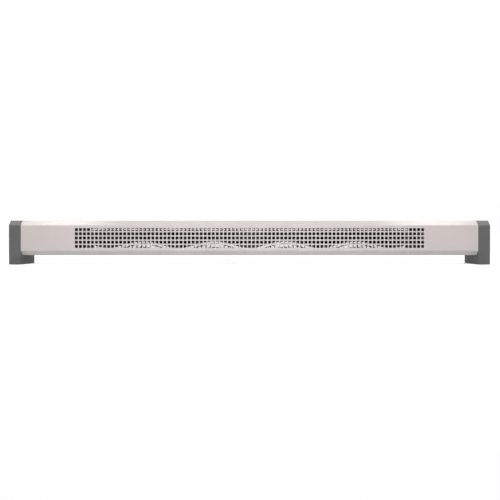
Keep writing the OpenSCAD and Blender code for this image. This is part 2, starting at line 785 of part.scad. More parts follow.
module end_plate() {
    color(chassis) {
        difference() {
            along_x(end_plate_in_x, end_plate_out_x)
                polygon(inner_outline(plate_gap));
            for (z = cap_screw_zs)
                rod_x(screw_r + fit_gap, end_plate_in_x - eps, end_plate_out_x + eps, cap_screw_y, z);
        }
        plate_flange(end_plate_in_x - plate_flange_l, end_plate_t, end_rivet_x);
    }
}

module bulkhead_sheet() {
    along_x(heated_l / 2, bulkhead_out_x)
        polygon(inner_outline(plate_gap));
    plate_flange(heated_l / 2 - plate_flange_l, bulkhead_t, bulkhead_rivet_x);
}

module left_bulkhead() {
    color(chassis)
        mirror([1, 0, 0])
            difference() {
                bulkhead_sheet();
                for (y = tube_ys)
                    rod_x(bush_r + fit_gap, heated_l / 2 - eps, bulkhead_out_x + eps, y, element_z);
                rod_x(capillary_r + capillary_hole_gap, heated_l / 2 - eps, bulkhead_out_x + eps,
                    capillary_y, capillary_z);
            }
}

// Outline of the ceramic guide round both runs of the element
module guide_outline(grow) {
    translate([element_y, element_z])
        rounded_rect(tube_spacing + guide_h + 2 * grow, guide_h + 2 * grow, (guide_h - guide_end_flat) / 2);
}

module right_bulkhead() {
    color(chassis)
        difference() {
            bulkhead_sheet();
            along_x(heated_l / 2 - eps, bulkhead_out_x + eps)
                guide_outline(fit_gap);
        }
}

// Block that ends at one face of a cap, with that face's outer edge rounded
module cap_face_block(angle, distance) {
    far = leg_rear_y - leg_front_y + body_h;
    translate([0, leg_mid_y, mid_z])
        rotate([angle, 0, 0])
            translate([0, far, 0])
                rotate([90, 0, 0])
                    linear_extrude(2 * far) {
                        translate([body_end_x, -far])
                            square([cap_w, far + distance - cap_edge_r]);
                        translate([body_end_x, -far])
                            square([cap_w - cap_edge_r, far + distance]);
                        translate([cap_end_x - cap_edge_r, distance - cap_edge_r])
                            circle(cap_edge_r);
                    }
}

// Outside of a cap: its side view, with rounded edges round the end face
module cap_shell() {
    half_d = (leg_rear_y - leg_front_y) / 2;
    half_h = body_h / 2 + cap_proud;
    corner = slope_h + cap_proud * (2 - sqrt(2));
    slope_distance = (half_d + half_h - corner) / sqrt(2);
    intersection() {
        along_x(body_end_x, cap_end_x)
            polygon(cap_outline(0, foot_proud));
        cap_face_block(0, half_h);
        cap_face_block(90, half_d);
        cap_face_block(-90, half_d);
        cap_face_block(45, slope_distance);
        cap_face_block(-45, slope_distance);
    }
}

// Moulded cap and leg, with a spigot for the body and bosses for screws and feet
module end_cap() {
    in_x = body_end_x + cap_wall;
    out_x = cap_end_x - cap_wall;
    color(moulded)
        difference() {
            union() {
                difference() {
                    cap_shell();
                    along_x(in_x, out_x)
                        polygon(cap_outline(cap_wall, base_z));
                    along_x(body_end_x - eps, in_x + eps)
                        polygon(inner_outline(plate_gap + spigot_t));
                    translate([in_x, leg_front_y + cap_wall, 0])
                        cube([out_x - in_x, leg_rear_y - leg_front_y - 2 * cap_wall, leg_web_z]);
                }
                along_x(spigot_x, in_x)
                    difference() {
                        polygon(inner_outline(plate_gap));
                        polygon(inner_outline(plate_gap + spigot_t));
                    }
                for (z = cap_screw_zs)
                    rod_x(cap_boss_r, end_plate_out_x, out_x + eps, cap_screw_y, z);
                for (y = boss_ys)
                    rod_z(foot_boss_r, foot_t, leg_web_z + eps, cap_mid_x, y);
                for (y = leg_rib_ys)
                    translate([in_x - eps, y - leg_rib_t / 2, foot_t])
                        cube([out_x - in_x + 2 * eps, leg_rib_t, leg_web_z - foot_t + eps]);
            }
            for (z = cap_screw_zs) {
                rod_x(screw_r + fit_gap, end_plate_out_x - eps, cap_end_x, cap_screw_y, z);
                rod_x(screw_head_r + fit_gap, cap_screw_seat_x, cap_end_x + eps, cap_screw_y, z);
            }
            for (y = boss_ys)
                rod_z(foot_stem_r + fit_gap, foot_t - eps, foot_hole_z, cap_mid_x, y);
        }
}

module foot_pads() {
    color(rubber)
        for (y = boss_ys) {
            rod_z(foot_r, 0, foot_t, cap_mid_x, y);
            rod_z(foot_stem_r, foot_t - eps, foot_t + foot_stem_l, cap_mid_x, y);
        }
}

module cap_screws() {
    screw_l = cap_screw_seat_x - end_plate_in_x + screw_tip;
    color(zinc)
        for (z = cap_screw_zs)
            translate([cap_screw_seat_x, cap_screw_y, z])
                rotate([0, -90, 0])
                    screw(screw_r, screw_head_r, screw_head_h, screw_l);
}

module cover_screws() {
    color(zinc)
        for (x = lip_screw_xs)
            screw_towards_front(x, rear_y, lip_screw_z, cover_t + panel_t + screw_tip);
}

module frame_rivets() {
    color(zinc)
        for (side = [-1, 1], z = flange_hole_zs) {
            rivet(side * bulkhead_rivet_x, z, panel_front_y - bulkhead_t, panel_rear_y);
            rivet(side * end_rivet_x, z, panel_front_y - end_plate_t, panel_rear_y);
        }
}

// Bright sheet behind the element: an upright back with a wing above and below
module reflector() {
    color(bright)
        difference() {
            along_x(-reflector_l / 2, reflector_l / 2)
                polygon(folded_sheet(reflector_path, reflector_t));
            for (x = spacer_xs)
                rod_y(rivet_r + fit_gap, reflector_face_y - eps, reflector_back_y + eps, x, element_z);
        }
}

module reflector_spacers() {
    color(zinc)
        for (x = spacer_xs)
            difference() {
                rod_y(spacer_r, reflector_back_y, panel_front_y, x, element_z);
                rod_y(rivet_r + fit_gap, reflector_back_y - eps, panel_front_y + eps, x, element_z);
            }
}

module reflector_rivets() {
    color(zinc)
        for (x = spacer_xs)
            rivet(x, element_z, reflector_face_y, panel_rear_y);
}

// Hairpin: two straight runs and a half-round bend
module element_tube() {
    color(blackened) {
        for (y = tube_ys)
            rod_x(tube_r, tube_end_x, bend_x, y, element_z);
        translate([bend_x, element_y, element_z])
            rotate([0, 0, -90])
                rotate_extrude(angle = 180)
                    translate([tube_spacing / 2, 0])
                        circle(tube_r);
    }
}

module element_fins() {
    color(blackened)
        for (i = [0 : fin_count - 1]) {
            x = (i - (fin_count - 1) / 2) * fin_pitch;
            along_x(x - fin_t / 2, x + fin_t / 2)
                difference() {
                    translate([element_y, element_z])
                        rounded_rect(fin_d, fin_h, fin_corner_r);
                    for (y = tube_ys)
                        translate([y, element_z])
                            circle(tube_r + fit_gap);
                }
        }
}

// Threaded bushes through the left bulkhead, drawn at +X and mirrored
module element_bushes() {
    head_x = heated_l / 2 - bush_head_t;
    thread_end_x = bulkhead_out_x + bush_nut_t + bush_thread_l;
    color(brass)
        mirror([1, 0, 0])
            for (y = tube_ys)
                difference() {
                    union() {
                        rod_x(bush_r, heated_l / 2 - eps, thread_end_x, y, element_z);
                        along_x(head_x, heated_l / 2)
                            translate([y, element_z])
                                hexagon(bush_flats);
                    }
                    rod_x(tube_r + fit_gap, head_x - eps, thread_end_x + eps, y, element_z);
                }
}

module element_nuts() {
    color(brass)
        mirror([1, 0, 0])
            for (y = tube_ys)
                along_x(bulkhead_out_x, bulkhead_out_x + bush_nut_t)
                    translate([y, element_z])
                        difference() {
                            hexagon(bush_flats);
                            circle(bush_r + fit_gap);
                        }
}

module element_seals() {
    color(ceramic)
        for (y = tube_ys)
            difference() {
                rod_x(tube_r - seal_step, tube_end_x - seal_l, tube_end_x, y, element_z);
                rod_x(pin_r + fit_gap, tube_end_x - seal_l - eps, tube_end_x + eps, y, element_z);
            }
}

module element_pins() {
    color(zinc)
        for (y = tube_ys)
            rod_x(pin_r, pin_end_x, tube_end_x, y, element_z);
}

module element_guide() {
    rim_x = heated_l / 2 - guide_rim_t;
    nose_x = bulkhead_out_x + guide_nose;
    color(ceramic)
        difference() {
            union() {
                along_x(rim_x, heated_l / 2)
                    guide_outline(guide_rim);
                along_x(heated_l / 2 - eps, nose_x)
                    guide_outline(0);
            }
            for (y = tube_ys)
                rod_x(tube_r + fit_gap, rim_x - eps, nose_x + eps, y, element_z);
        }
}

// Three-pole terminal block, with grooves between the poles
module terminal_block() {
    groove_w = 1.5;
    color(ceramic)
        difference() {
            translate([block_cx - block_w / 2, block_front_y, block_z])
                cube([block_w, block_d, block_h]);
            for (x = block_screw_xs) {
                translate([x - groove_w / 2, block_front_y - eps, block_z - eps])
                    cube([groove_w, block_d / 3, block_h + 2 * eps]);
                rod_y(pole_screw_head_r + fit_gap, block_front_y - eps, pole_y, x, block_screw_z);
                rod_y(pole_screw_r + fit_gap, block_front_y, panel_front_y + eps, x, block_screw_z);
            }
            for (x = pole_xs) {
                rod_z(insert_r + fit_gap, block_z - eps, block_top_z + eps, x, pole_y);
                for (z = pole_screw_zs)
                    rod_y(pole_screw_head_r + fit_gap, block_front_y - eps, pole_y, x, z);
            }
        }
}

module terminal_inserts() {
    color(brass)
        for (x = pole_xs)
            difference() {
                rod_z(insert_r, block_z + insert_inset, block_top_z - insert_inset, x, pole_y);
                rod_z(insert_bore_r, block_z, block_top_z, x, pole_y);
                for (z = pole_screw_zs)
                    rod_y(pole_screw_r + fit_gap, block_front_y, pole_y, x, z);
            }
}

module terminal_screws() {
    color(zinc)
        for (x = pole_xs, z = pole_screw_zs)
            screw_towards_rear(x, pole_y - insert_r - pole_screw_lift, z, insert_r - insert_bore_r,
                pole_screw_r, pole_screw_head_r, pole_screw_head_h);
}

module terminal_block_screws() {
    color(zinc)
        for (x = block_screw_xs)
            screw_towards_rear(x, pole_y, block_screw_z, block_d / 2 + panel_t + block_screw_tip,
                pole_screw_r, pole_screw_head_r, pole_screw_head_h);
}

// Limiter: closed case, threaded neck and the chamber of its button
module limiter_body() {
    color(black_plastic)
        difference() {
            union() {
                along_y(limiter_front_y, panel_front_y)
                    translate([limiter_cx, limiter_z])
                        rounded_rect(limiter_w, limiter_h, limiter_corner_r);
                rod_y(neck_r, panel_front_y - eps, neck_end_y, limiter_cx, limiter_z);
            }
            rod_y(button_r + button_gap, chamber_y - eps, neck_end_y + eps, limiter_cx, limiter_z);
            rod_y(collar_r + button_gap, chamber_y - chamber_l, chamber_y, limiter_cx, limiter_z);
        }
}

module limiter_tabs() {
    color(brass)
        for (x = tab_xs)
            translate([x - tab_w / 2, tab_end_y, limiter_z - tab_t / 2])
                cube([tab_w, tab_l, tab_t]);
}

module limiter_nut() {
    color(zinc)
        along_y(panel_rear_y, panel_rear_y + neck_nut_t)
            translate([limiter_cx, limiter_z])
                difference() {
                    hexagon(neck_nut_flats);
                    circle(neck_r + fit_gap);
                }
}

module reset_button() {
    color(red_plastic) {
        rod_y(button_r, collar_y - collar_t, neck_end_y + button_proud, limiter_cx, limiter_z);
        rod_y(collar_r, collar_y - collar_t, collar_y, limiter_cx, limiter_z);
    }
}

module capillary_tube() {
    route = concat(smooth_route(capillary_route, 4), [[capillary_end_x, capillary_y, capillary_z]]);
    color(brass)
        swept_tube(route, capillary_r);
}

// Loops that hang from the top flange of the rear panel
module capillary_clips() {
    bore_r = capillary_r + fit_gap;
    flange_z = panel_top_z - panel_t;
    color(zinc)
        for (x = clip_xs)
            along_x(x - clip_w / 2, x + clip_w / 2)
                difference() {
                    union() {
                        translate([capillary_y, capillary_z])
                            circle(bore_r + clip_t);
                        translate([capillary_y - clip_t / 2, capillary_z])
                            square([clip_t, flange_z - capillary_z]);
                        translate([capillary_y - clip_foot_w / 2, flange_z - clip_t])
                            square([clip_foot_w, clip_t]);
                    }
                    translate([capillary_y, capillary_z])
                        circle(bore_r);
                }
}

module gland_plate() {
    color(chassis)
        difference() {
            along_y(panel_rear_y, gland_face_y)
                translate([entry_x, entry_z])
                    rounded_rect(gland_plate_w, gland_plate_h, gland_corner_r);
            rod_y(grommet_r + fit_gap, panel_rear_y - eps, gland_face_y + eps, entry_x, entry_z);
            for (z = gland_screw_zs)
                rod_y(screw_r + fit_gap, panel_rear_y - eps, gland_face_y + eps, entry_x, z);
        }
}

module gland_plate_screws() {
    color(zinc)
        for (z = gland_screw_zs)
            screw_towards_front(entry_x, gland_face_y, z, gland_plate_t + panel_t + screw_tip);
}

module cable_grommet() {
    color(rubber)
        difference() {
            union() {
                rod_y(grommet_r, panel_rear_y - eps, gland_face_y + eps, entry_x, entry_z);
                rod_y(grommet_rim_r, grommet_front_y, panel_rear_y, entry_x, entry_z);
                rod_y(grommet_rim_r, gland_face_y, grommet_rear_y, entry_x, entry_z);
            }
            rod_y(cable_r, grommet_front_y - eps, grommet_rear_y + eps, entry_x, entry_z);
        }
}

// Saddle that presses the cord against the rear panel
module cord_clamp() {
    hump_y = panel_front_y - cable_r * clamp_squeeze;
    color(black_plastic)
        difference() {
            along_x(clamp_cx - clamp_w / 2, clamp_cx + clamp_w / 2)
                difference() {
                    union() {
                        translate([panel_front_y - clamp_t, entry_z - clamp_l / 2])
                            square([clamp_t, clamp_l]);
                        translate([hump_y, entry_z])
                            circle(cable_r + clamp_hump_t);
                    }
                    translate([hump_y, entry_z])
                        circle(cable_r);
                    translate([hump_y, entry_z - cable_r])
                        square([cable_r * 2 + clamp_t, cable_r * 2]);
                    translate([panel_front_y, entry_z - clamp_l])
                        square([cable_r * 4, clamp_l * 2]);
                }
            for (z = clamp_screw_zs)
                rod_y(screw_r + fit_gap, panel_front_y - clamp_t - eps, panel_front_y + eps, clamp_cx, z);
        }
}

module cord_clamp_screws() {
    color(zinc)
        for (z = clamp_screw_zs)
            screw_towards_rear(clamp_cx, panel_front_y - clamp_t, z, clamp_t + panel_t);
}

module earth_stud() {
    color(brass) {
        rod_y(earth_r, panel_front_y - earth_l, earth_flange_y + eps, earth_x, earth_z);
        rod_y(earth_flange_r, earth_flange_y, panel_front_y, earth_x, earth_z);
    }
}

module earth_nuts() {
    color(brass)
        for (y = [earth_ring_y, earth_ring_y - earth_ring_t - earth_nut_t])
            along_y(y, y + earth_nut_t)
                translate([earth_x, earth_z])
                    difference() {
                        hexagon(earth_nut_flats);
                        circle(earth_r + fit_gap);
                    }
}

module wire(route) {
    swept_tube(smooth_route(route, 4), wire_r);
}

// Sleeve over a terminal pin of the element
module pin_crimp(y) {
    difference() {
        rod_x(crimp_r, crimp_end_x, crimp_x, y, element_z);
        rod_x(pin_r + fit_gap, pin_end_x - fit_gap, crimp_x + eps, y, element_z);
    }
}

// Push-on box over a blade terminal
module tab_box(x) {
    gap_w = tab_w + 2 * fit_gap;
    gap_t = tab_t + 2 * fit_gap;
    difference() {
        translate([x - gap_w / 2 - tab_box_wall, tab_box_y, limiter_z - wire_r])
            cube([gap_w + 2 * tab_box_wall, limiter_front_y - tab_box_gap - tab_box_y, 2 * wire_r]);
        translate([x - gap_w / 2, tab_end_y - fit_gap, limiter_z - gap_t / 2])
            cube([gap_w, tab_l + fit_gap, gap_t]);
    }
}

module wire_live_in() {
    color(brown_skin) {
        wire(live_in_route);
        tab_box(tab_xs[1]);
    }
}

module wire_live_out() {
    color(brown_skin) {
        wire(live_out_route);
        tab_box(tab_xs[0]);
        pin_crimp(tube_ys[0]);
    }
}

module wire_neutral() {
    color(blue_skin) {
        wire(neutral_route);
        pin_crimp(tube_ys[1]);
    }
}

module wire_earth() {
    color(green_skin) {
        wire(earth_route);
        along_y(earth_ring_y - earth_ring_t, earth_ring_y)
            difference() {
                union() {
                    translate([earth_x, earth_z])
                        circle(earth_flange_r);
                    translate([earth_x - wire_r, earth_z])
                        square([2 * wire_r, earth_neck_z - earth_z]);
                }
                translate([earth_x, earth_z])
                    circle(earth_r + fit_gap);
            }
    }
}

front_cover();
rear_panel();
both_ends(false) end_plate();  // left_end_plate
both_ends(true) end_plate();  // right_end_plate
left_bulkhead();
right_bulkhead();
both_ends(false) end_cap();  // left_end_cap
both_ends(true) end_cap();  // right_end_cap
both_ends(false) foot_pads();  // left_foot_pads
both_ends(true) foot_pads();  // right_foot_pads
both_ends(false) cap_screws();  // left_cap_screws
both_ends(true) cap_screws();  // right_cap_screws
cover_screws();
frame_rivets();
reflector();
reflector_spacers();
reflector_rivets();
element_tube();
element_fins();
element_bushes();
element_nuts();
element_seals();
element_pins();
element_guide();
terminal_block();
terminal_inserts();
terminal_screws();
terminal_block_screws();
limiter_body();
limiter_tabs();
limiter_nut();
reset_button();
capillary_tube();
capillary_clips();
gland_plate();
gland_plate_screws();
cable_grommet();
cord_clamp();
cord_clamp_screws();
earth_stud();
earth_nuts();
wire_live_in();
wire_live_out();
wire_neutral();
wire_earth();
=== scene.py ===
"""Low bench convector heater: a painted steel body with a punched grille, a
finned element in front of a bright reflector, and moulded end caps as legs.
Metres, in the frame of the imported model: front towards -Y, up along +Z."""

import math

import bmesh
import bpy
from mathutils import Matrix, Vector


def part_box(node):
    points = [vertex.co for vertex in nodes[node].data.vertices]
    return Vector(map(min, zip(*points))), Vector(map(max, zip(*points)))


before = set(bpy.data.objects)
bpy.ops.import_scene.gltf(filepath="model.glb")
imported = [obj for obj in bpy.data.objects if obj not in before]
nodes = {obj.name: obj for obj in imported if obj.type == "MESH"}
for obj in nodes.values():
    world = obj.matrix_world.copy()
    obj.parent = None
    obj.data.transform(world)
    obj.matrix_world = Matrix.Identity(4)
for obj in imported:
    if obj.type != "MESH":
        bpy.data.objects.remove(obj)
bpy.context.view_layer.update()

# Camera
# The photograph was taken from 1.34 m in front of the cover, level with the
# cover's middle, and shows it a little left of and above the picture's middle.
photo_px = 500
focal_length_px = 600
cover_middle_px = (249.5, 238.0)
camera_distance = 1.341
cover_low, cover_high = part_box("front_cover")
camera_height = (cover_low.z + cover_high.z) / 2
camera_data = bpy.data.cameras.new("camera")
camera_data.sensor_width = 36
camera_data.lens = camera_data.sensor_width * focal_length_px / photo_px
camera_data.shift_x = (photo_px / 2 - cover_middle_px[0]) / photo_px
camera_data.shift_y = (cover_middle_px[1] - photo_px / 2) / photo_px
camera = bpy.data.objects.new("camera", camera_data)
camera.location = (0, cover_low.y - camera_distance, camera_height)
camera.rotation_euler = (math.radians(90), 0, 0)
bpy.context.collection.objects.link(camera)
bpy.context.scene.camera = camera

# Front cover
# One sheet of 1 mm steel, punched and folded, then powder coated in a light
# pinkish grey. The rear lip is screwed to the chassis.
MM = 0.001


def linear(hex_colour):
    """An sRGB hex colour as linear light, with alpha."""
    channels = [int(hex_colour[i:i + 2], 16) / 255 for i in (1, 3, 5)]
    return (*[c / 12.92 if c <= 0.04045 else ((c + 0.055) / 1.055) ** 2.4 for c in channels], 1)


def add(tree, kind, inputs=None, stops=(), **settings):
    """Adds a node, sets its settings and colour stops, and fills or links its inputs."""
    node = tree.nodes.new(kind)
    for name, value in settings.items():
        setattr(node, name, value)
    for i, (position, hex_colour) in enumerate(stops):
        node.color_ramp.elements[i].position = position
        node.color_ramp.elements[i].color = linear(hex_colour)
    for name, value in (inputs or {}).items():
        if isinstance(value, bpy.types.NodeSocket):
            tree.links.new(value, node.inputs[name])
        else:
            node.inputs[name].default_value = value
    return node


def start_material(name):
    """A material with no nodes yet, its tree and the object's own coordinates."""
    material = bpy.data.materials.new(name)
    material.use_nodes = True
    tree = material.node_tree
    tree.nodes.clear()
    place = add(tree, "ShaderNodeTexCoord").outputs["Object"]
    return material, tree, place


def dress(material, *names):
    """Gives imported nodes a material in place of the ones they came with."""
    for name in names:
        mesh = nodes[name].data
        mesh.materials.clear()
        mesh.materials.append(material)
        for face in mesh.polygons:
            face.material_index = 0


# Satin powder coat: the fine orange peel breaks up the reflections, and a very
# slight mottle keeps the large faces from looking like flat colour.
mottle_size = 70 * MM
peel_size = 1.6 * MM
powder_coat, tree, place = start_material("satin_powder_coat")
mottle = add(tree, "ShaderNodeTexNoise", {"Vector": place, "Scale": 1 / mottle_size, "Detail": 3.0})
tint = add(tree, "ShaderNodeValToRGB", {"Fac": mottle.outputs["Fac"]},
           stops=((0.35, "#C6C1BD"), (0.65, "#CBC6C2")))
peel = add(tree, "ShaderNodeTexNoise", {"Vector": place, "Scale": 1 / peel_size, "Detail": 2.0})
peel_bump = add(tree, "ShaderNodeBump", {
    "Height": peel.outputs["Fac"], "Strength": 0.03, "Distance": 0.05 * MM})
sheen = add(tree, "ShaderNodeMapRange", {"Value": mottle.outputs["Fac"], "To Min": 0.24, "To Max": 0.26})
paint = add(tree, "ShaderNodeBsdfPrincipled", {
    "Base Color": tint.outputs["Color"], "Roughness": sheen.outputs["Result"],
    "Normal": peel_bump.outputs["Normal"], "IOR": 1.5})
add(tree, "ShaderNodeOutputMaterial", {"Surface": paint.outputs["BSDF"]})
dress(powder_coat, "front_cover")

# Inside, the sheet is given a near-black painted shade in place of its coat, so
# the mirror behind the grille shows black bars between the holes.
dust_size = 12 * MM
inner_painted_shade, tree, place = start_material("painted_shade_inner_faces")
dust = add(tree, "ShaderNodeTexNoise", {"Vector": place, "Scale": 1 / dust_size, "Detail": 4.0})
tint = add(tree, "ShaderNodeValToRGB", {"Fac": dust.outputs["Fac"]},
           stops=((0.35, "#161617"), (0.7, "#222221")))
inner_shade_bsdf = add(tree, "ShaderNodeBsdfPrincipled", {
    "Base Color": tint.outputs["Color"], "Roughness": 0.75, "IOR": 1.5})
add(tree, "ShaderNodeOutputMaterial", {"Surface": inner_shade_bsdf.outputs["BSDF"]})
sheet_t = 1 * MM
inner_face_depth = 0.9 * sheet_t
cover = nodes["front_cover"].data
cover.materials.append(inner_painted_shade)
# Faces lying deeper than the outer skin of the sheet get the painted shade.
for face in cover.polygons:
    depths = []
    for corner in (cover.vertices[i].co for i in face.vertices):
        depths += [corner.y - cover_low.y, cover_high.y - corner.y]
        depths += [corner.z - cover_low.z, cover_high.z - corner.z]
    if min(depths) > inner_face_depth:
        face.material_index = 1

# Chassis: rear panel, end plates, bulkheads and gland plate
# Folded steel sheet, riveted together, in a matt dark coat. It shows at the back
# and underside, and its darkness is painted shade for the inside of the body, so the holes of the grille
# read dark.
speckle_size = 0.9 * MM
clouds_size = 90 * MM
chassis_coat_and_shade, tree, place = start_material("matt_dark_chassis_coat_and_painted_shade")
speckle = add(tree, "ShaderNodeTexNoise", {"Vector": place, "Scale": 1 / speckle_size, "Detail": 2.0})
clouds = add(tree, "ShaderNodeTexNoise", {"Vector": place, "Scale": 1 / clouds_size, "Detail": 4.0})
tint = add(tree, "ShaderNodeValToRGB", {"Fac": clouds.outputs["Fac"]},
           stops=((0.3, "#242526"), (0.7, "#2D2E2F")))
grit_bump = add(tree, "ShaderNodeBump", {
    "Height": speckle.outputs["Fac"], "Strength": 0.25, "Distance": 0.08 * MM})
sheen = add(tree, "ShaderNodeMapRange", {"Value": speckle.outputs["Fac"], "To Min": 0.5, "To Max": 0.66})
paint = add(tree, "ShaderNodeBsdfPrincipled", {
    "Base Color": tint.outputs["Color"], "Roughness": sheen.outputs["Result"],
    "Normal": grit_bump.outputs["Normal"], "IOR": 1.5})
add(tree, "ShaderNodeOutputMaterial", {"Surface": paint.outputs["BSDF"]})
dress(chassis_coat_and_shade, "rear_panel", "left_end_plate", "right_end_plate",
      "left_bulkhead", "right_bulkhead", "gland_plate")

# End caps
# Injection moulded ABS, dark grey all through, with a fine grain that softens
# its shine. Each cap plugs into the body with a spigot, is screwed to its end
# plate, and is also a leg.
grain_size = 0.8 * MM
flow_size = 45 * MM
moulded_abs, tree, place = start_material("grained_moulded_abs")
grain = add(tree, "ShaderNodeTexVoronoi", {"Vector": place, "Scale": 1 / grain_size}, feature="SMOOTH_F1")
flow = add(tree, "ShaderNodeTexNoise", {"Vector": place, "Scale": 1 / flow_size, "Detail": 3.0})
tint = add(tree, "ShaderNodeValToRGB", {"Fac": flow.outputs["Fac"]},
           stops=((0.3, "#5B5A5A"), (0.7, "#616160")))
grain_bump = add(tree, "ShaderNodeBump", {
    "Height": grain.outputs["Distance"], "Strength": 0.3, "Distance": 0.05 * MM})
sheen = add(tree, "ShaderNodeMapRange", {"Value": flow.outputs["Fac"], "To Min": 0.46, "To Max": 0.54})
plastic = add(tree, "ShaderNodeBsdfPrincipled", {
    "Base Color": tint.outputs["Color"], "Roughness": sheen.outputs["Result"],
    "Normal": grain_bump.outputs["Normal"], "IOR": 1.53})
add(tree, "ShaderNodeOutputMaterial", {"Surface": plastic.outputs["BSDF"]})
dress(moulded_abs, "left_end_cap", "right_end_cap")

# Rubber feet and cable grommet
# Black moulded rubber, greyed in patches by bloom. The feet plug into bosses in
# the legs, and the grommet snaps into the gland plate.
bloom_size = 4 * MM
black_rubber, tree, place = start_material("black_moulded_rubber")
bloom = add(tree, "ShaderNodeTexNoise", {"Vector": place, "Scale": 1 / bloom_size, "Detail": 4.0})
tint = add(tree, "ShaderNodeValToRGB", {"Fac": bloom.outputs["Fac"]},
           stops=((0.35, "#161616"), (0.75, "#242423")))
skin_bump = add(tree, "ShaderNodeBump", {
    "Height": bloom.outputs["Fac"], "Strength": 0.15, "Distance": 0.05 * MM})
rubber = add(tree, "ShaderNodeBsdfPrincipled", {
    "Base Color": tint.outputs["Color"], "Roughness": 0.72,
    "Normal": skin_bump.outputs["Normal"], "IOR": 1.52})
add(tree, "ShaderNodeOutputMaterial", {"Surface": rubber.outputs["BSDF"]})
dress(black_rubber, "left_foot_pads", "right_foot_pads", "cable_grommet")

# Screws, rivets and other plated steel
# Turned and headed steel, zinc plated. The plating is a little cloudy, so the
# roughness changes from place to place.
plating_size = 2.5 * MM
zinc_plate, tree, place = start_material("zinc_plated_steel")
plating = add(tree, "ShaderNodeTexNoise", {"Vector": place, "Scale": 1 / plating_size, "Detail": 4.0})
tint = add(tree, "ShaderNodeValToRGB", {"Fac": plating.outputs["Fac"]},
           stops=((0.3, "#9FA3A6"), (0.7, "#C3C6C7")))
sheen = add(tree, "ShaderNodeMapRange", {"Value": plating.outputs["Fac"], "To Min": 0.28, "To Max": 0.45})
metal = add(tree, "ShaderNodeBsdfPrincipled", {
    "Base Color": tint.outputs["Color"], "Metallic": 1.0, "Roughness": sheen.outputs["Result"]})
add(tree, "ShaderNodeOutputMaterial", {"Surface": metal.outputs["BSDF"]})
dress(zinc_plate, "left_cap_screws", "right_cap_screws", "cover_screws", "frame_rivets",
      "reflector_spacers", "reflector_rivets", "element_pins", "terminal_screws",
      "terminal_block_screws", "limiter_nut", "capillary_clips",
      "gland_plate_screws", "cord_clamp_screws")

# Reflector
# Thin mirror-bright aluminium: an upright back with a wing folded forward above
# and below it, on spacers riveted to the rear panel. Through the holes of the
# grille it shows the grille itself again, and the white room beyond it.
line_length = 60 * MM
line_width = 1.2 * MM
bright_aluminium, tree, place = start_material("bright_rolled_aluminium")
rolling = add(tree, "ShaderNodeMapping", {
    "Vector": place, "Scale": (1 / line_length, 1 / line_width, 1 / line_width)})
lines = add(tree, "ShaderNodeTexNoise", {"Vector": rolling.outputs["Vector"], "Scale": 1.0, "Detail": 3.0})
tint = add(tree, "ShaderNodeValToRGB", {"Fac": lines.outputs["Fac"]},
           stops=((0.3, "#E6E2DE"), (0.7, "#F3F0EC")))
sheen = add(tree, "ShaderNodeMapRange", {"Value": lines.outputs["Fac"], "To Min": 0.04, "To Max": 0.08})
spot = add(tree, "ShaderNodeSeparateXYZ", {"Vector": place}).outputs

# Between its rivets the sheet leans back and forth, from a little above the foot
# of the fins down, so the picture of the room in it comes and goes along the
# lowest rows of holes.
sway_pitch = 166 * MM
sway_tilt = 0.13
fins_low, fins_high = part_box("element_fins")
sway_top_z = fins_low.z + 4.6 * MM
turn = add(tree, "ShaderNodeMath", {0: spot["X"], 1: 2 * math.pi / sway_pitch}, operation="MULTIPLY")
sway = add(tree, "ShaderNodeMath", {0: turn.outputs[0]}, operation="COSINE")
lean = add(tree, "ShaderNodeMapRange", {
    "Value": sway.outputs[0], "From Min": -1.0, "To Min": 0.0, "To Max": sway_tilt})
below = add(tree, "ShaderNodeMath", {0: sway_top_z, 1: spot["Z"]}, operation="SUBTRACT")
hang = add(tree, "ShaderNodeMath", {0: below.outputs[0], 1: 0.0}, operation="MAXIMUM")
height = add(tree, "ShaderNodeMath", {0: lean.outputs[0], 1: hang.outputs[0]}, operation="MULTIPLY")
wave_bump = add(tree, "ShaderNodeBump", {"Height": height.outputs[0], "Strength": 1.0, "Distance": 1.0})

# A band of painted shade darkens the sheet behind the fins, about as high as the
# fins, and reaches lower where the sheet leans most.
fins_middle = (fins_low.z + fins_high.z) / 2
fade_from = 11.5 * MM
fade_to = 15.5 * MM
most_droop = 14 * MM
darkest_band_shade = 0.06
droop = add(tree, "ShaderNodeMapRange", {
    "Value": sway.outputs[0], "From Min": -1.0, "To Min": 0.0, "To Max": most_droop})
above = add(tree, "ShaderNodeMath", {0: spot["Z"], 1: fins_middle}, operation="SUBTRACT")
under = add(tree, "ShaderNodeMath", {0: fins_middle, 1: spot["Z"]}, operation="SUBTRACT")
under_droop = add(tree, "ShaderNodeMath", {
    0: under.outputs[0], 1: droop.outputs["Result"]}, operation="SUBTRACT")
off_middle = add(tree, "ShaderNodeMath", {
    0: above.outputs[0], 1: under_droop.outputs[0]}, operation="MAXIMUM")
band_painted_shade = add(tree, "ShaderNodeMapRange", {
    "Value": off_middle.outputs[0], "From Min": fade_from, "From Max": fade_to,
    "To Min": darkest_band_shade, "To Max": 1.0})
# The mirror's colour is multiplied down to near-black in the band: painted shade.
band_shaded_tint = add(tree, "ShaderNodeVectorMath", {
    0: tint.outputs["Color"], 1: band_painted_shade.outputs["Result"]}, operation="MULTIPLY")
metal = add(tree, "ShaderNodeBsdfPrincipled", {
    "Base Color": band_shaded_tint.outputs["Vector"], "Metallic": 1.0, "Roughness": sheen.outputs["Result"],
    "Normal": wave_bump.outputs["Normal"]})
add(tree, "ShaderNodeOutputMaterial", {"Surface": metal.outputs["BSDF"]})
dress(bright_aluminium, "reflector")
